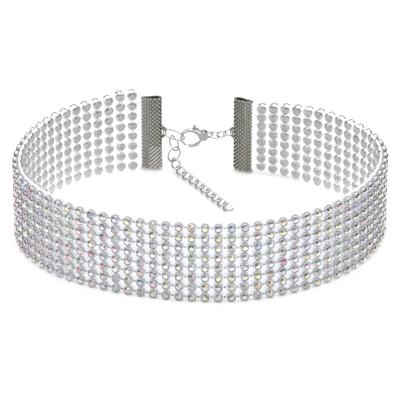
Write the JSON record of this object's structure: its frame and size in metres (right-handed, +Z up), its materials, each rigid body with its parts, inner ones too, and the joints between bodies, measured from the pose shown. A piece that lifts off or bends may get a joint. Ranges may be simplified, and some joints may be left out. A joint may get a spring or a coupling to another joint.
{
  "type": "choker necklace",
  "caption": "Wide rhinestone choker standing as a closed loop, with ribbon crimps, a lobster clasp and a curb extender chain.",
  "frame": {"origin": "centre of the loop's outline in plan, on the surface that it stands on", "axes": "+Z up, the clasp at the back on +Y, the middle of the band at the front on -Y, +X across to the viewer's right"},
  "size_m": [0.129, 0.0964, 0.0315],
  "materials": {
    "crystal": "cut, with an iridescent coating, in bright metal cups",
    "clear_strip": "clear, slightly milky",
    "nickel": "knurled, dull nickel",
    "silver": "polished"
  },
  "bodies": {
    "band": {"stone_rows": "crystal", "backing_strip": "clear_strip", "crimp_left": "nickel", "crimp_right": "nickel", "jump_link": "silver", "lobster_clasp": "silver", "tail_ring": "silver", "tail_link": "silver", "end_link": "silver", "drop_ring_upper": "silver", "drop_ring_lower": "silver", "extender_link_01": "silver", "extender_link_02": "silver", "extender_link_03": "silver", "extender_link_04": "silver", "extender_link_05": "silver", "extender_link_06": "silver", "extender_link_07": "silver", "extender_link_08": "silver", "extender_link_09": "silver", "extender_link_10": "silver"},
    "lever": {"clasp_lever": "silver"}
  },
  "joints": [
    {"name": "clasp_lever_hinge", "type": "hinge", "parent": "band", "child": "lever", "pos_m": [0.00059, 0.04627, 0.01348], "axis": [-0.0096, 1, 0], "range_deg": [0, 20], "stiffness_Nm_per_rad": 0.005, "springref_deg": -11.46}
  ]
}
